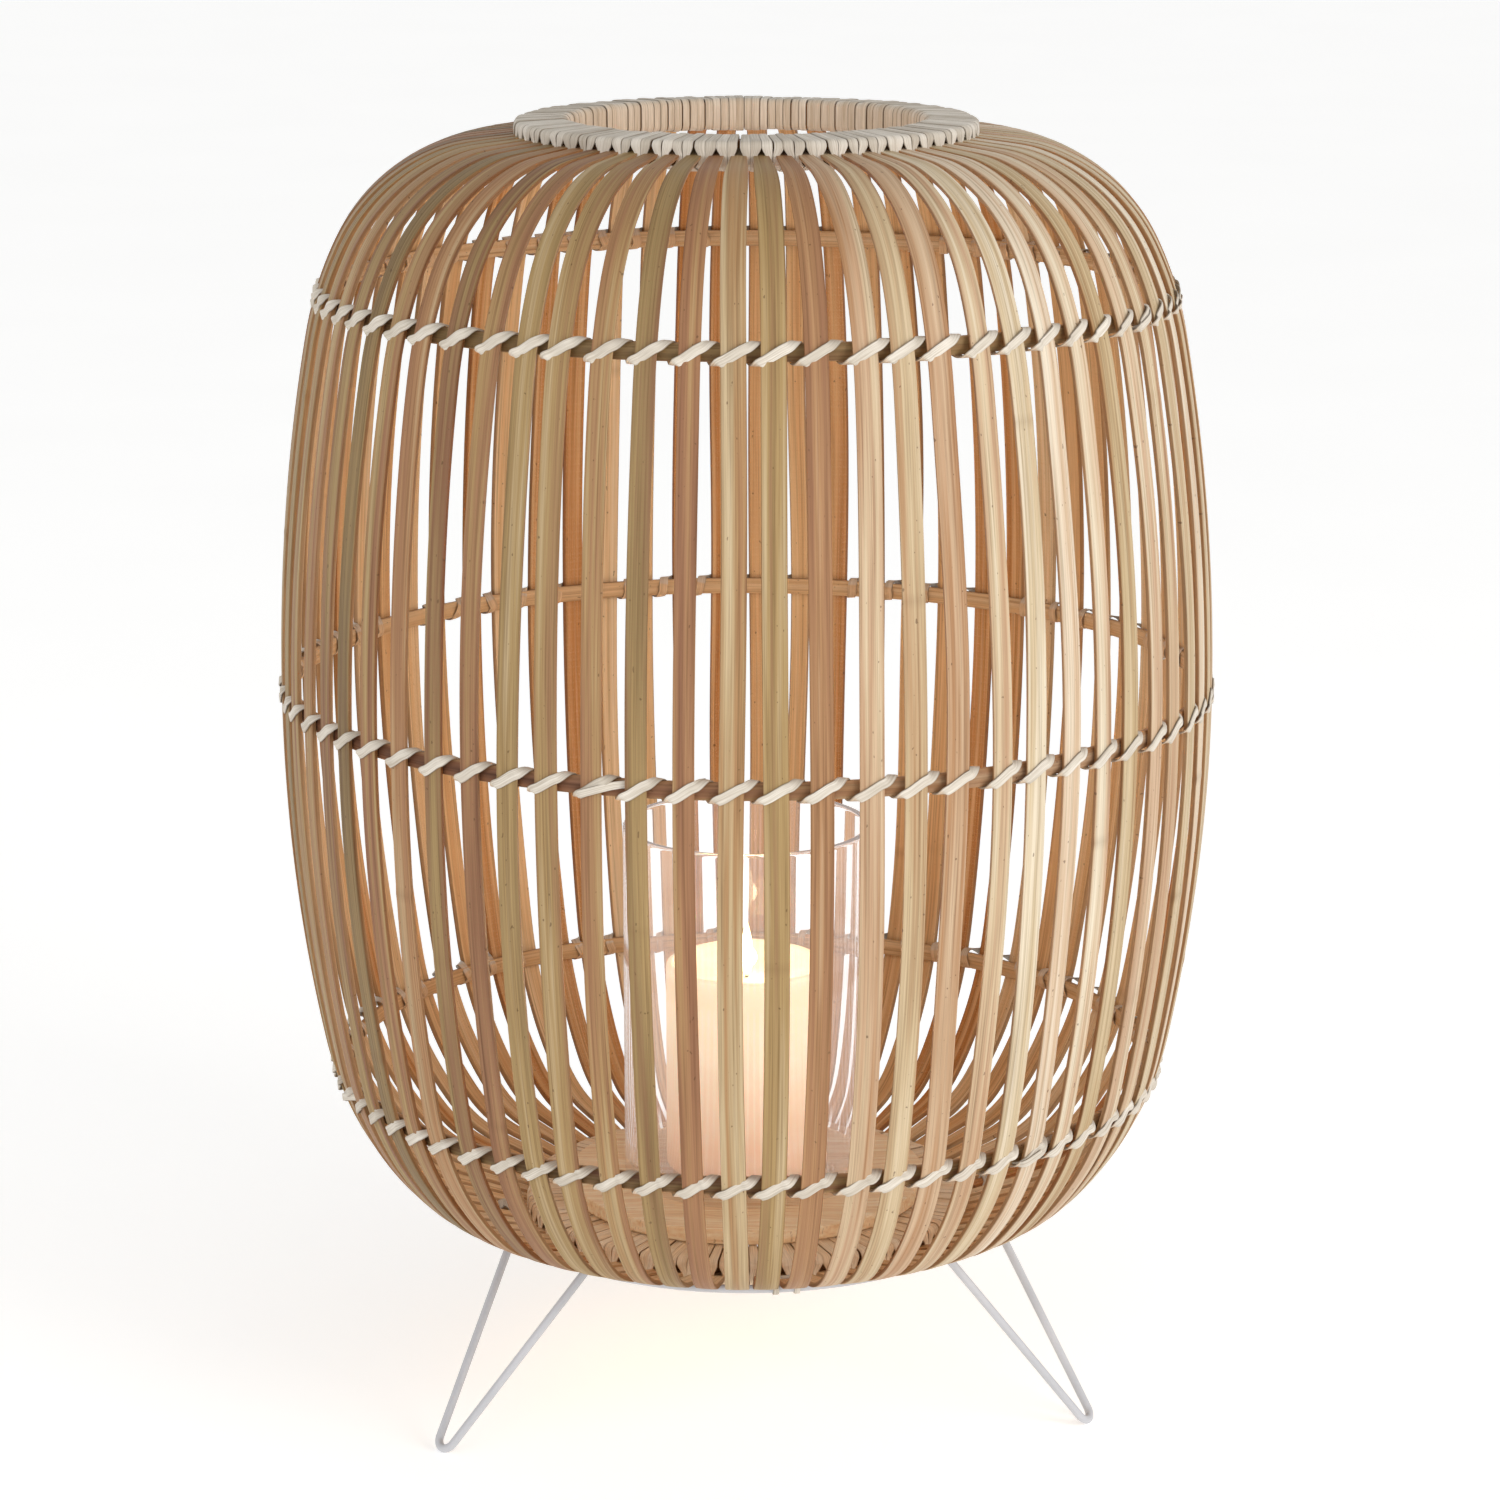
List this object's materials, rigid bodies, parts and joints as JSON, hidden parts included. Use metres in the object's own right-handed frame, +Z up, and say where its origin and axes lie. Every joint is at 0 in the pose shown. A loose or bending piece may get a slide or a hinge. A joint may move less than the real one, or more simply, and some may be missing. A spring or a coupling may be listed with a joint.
{
  "type": "bamboo floor lantern",
  "caption": "Barrel-shaped cage of bent bamboo slats on a wire stand, with a pillar candle in a clear glass inside.",
  "frame": {"origin": "on the floor, on the lantern's vertical axis", "axes": "+Z up along the axis of the cage; -Y is the front, and +X is to the right seen from the front"},
  "size_m": [0.4476, 0.4476, 0.6218],
  "materials": {
    "bamboo": "split bamboo, satin",
    "rattan": "peeled rattan strip, matte",
    "cane": "plain cane",
    "board": "light wood, clear lacquer",
    "wire": "white powder coat",
    "glass": "clear, polished",
    "wax": "candle wax",
    "wick": "charred cotton"
  },
  "bodies": {
    "lantern": {"slats_01": "bamboo", "slats_02": "bamboo", "slats_03": "bamboo", "slats_04": "bamboo", "slats_05": "bamboo", "slats_06": "bamboo", "slats_07": "bamboo", "slats_08": "bamboo", "slats_09": "bamboo", "slats_10": "bamboo", "slats_11": "bamboo", "slats_12": "bamboo", "slats_13": "bamboo", "slats_14": "bamboo", "slats_15": "bamboo", "slats_16": "bamboo", "slats_17": "bamboo", "slats_18": "bamboo", "slats_19": "bamboo", "slats_20": "bamboo", "slats_21": "bamboo", "slats_22": "bamboo", "slats_23": "bamboo", "slats_24": "bamboo", "slats_25": "bamboo", "slats_26": "bamboo", "slats_27": "bamboo", "slats_28": "bamboo", "slats_29": "bamboo", "slats_30": "bamboo", "slats_31": "bamboo", "slats_32": "bamboo", "slats_33": "bamboo", "slats_34": "bamboo", "hoop_upper": "bamboo", "hoop_middle": "bamboo", "hoop_lower": "bamboo", "lashing_upper": "rattan", "lashing_middle": "rattan", "lashing_lower": "rattan", "top_ring_wrap": "rattan", "top_ring_core": "cane", "bottom_ring_wrap": "rattan", "bottom_ring_core": "cane", "base_board": "board", "stand_ring": "wire", "leg_left": "wire", "leg_right": "wire", "leg_back": "wire", "ring_ties": "rattan"},
    "glass": {"glass_cylinder": "glass"},
    "candle": {"candle": "wax", "wick": "wick"}
  },
  "joints": [
    {"name": "glass_lift", "type": "slide", "parent": "lantern", "child": "glass", "axis": [0, 0, 1], "range_m": [0, 0.53]},
    {"name": "candle_lift", "type": "slide", "parent": "glass", "child": "candle", "axis": [0, 0, 1], "range_m": [0, 0.18]}
  ]
}
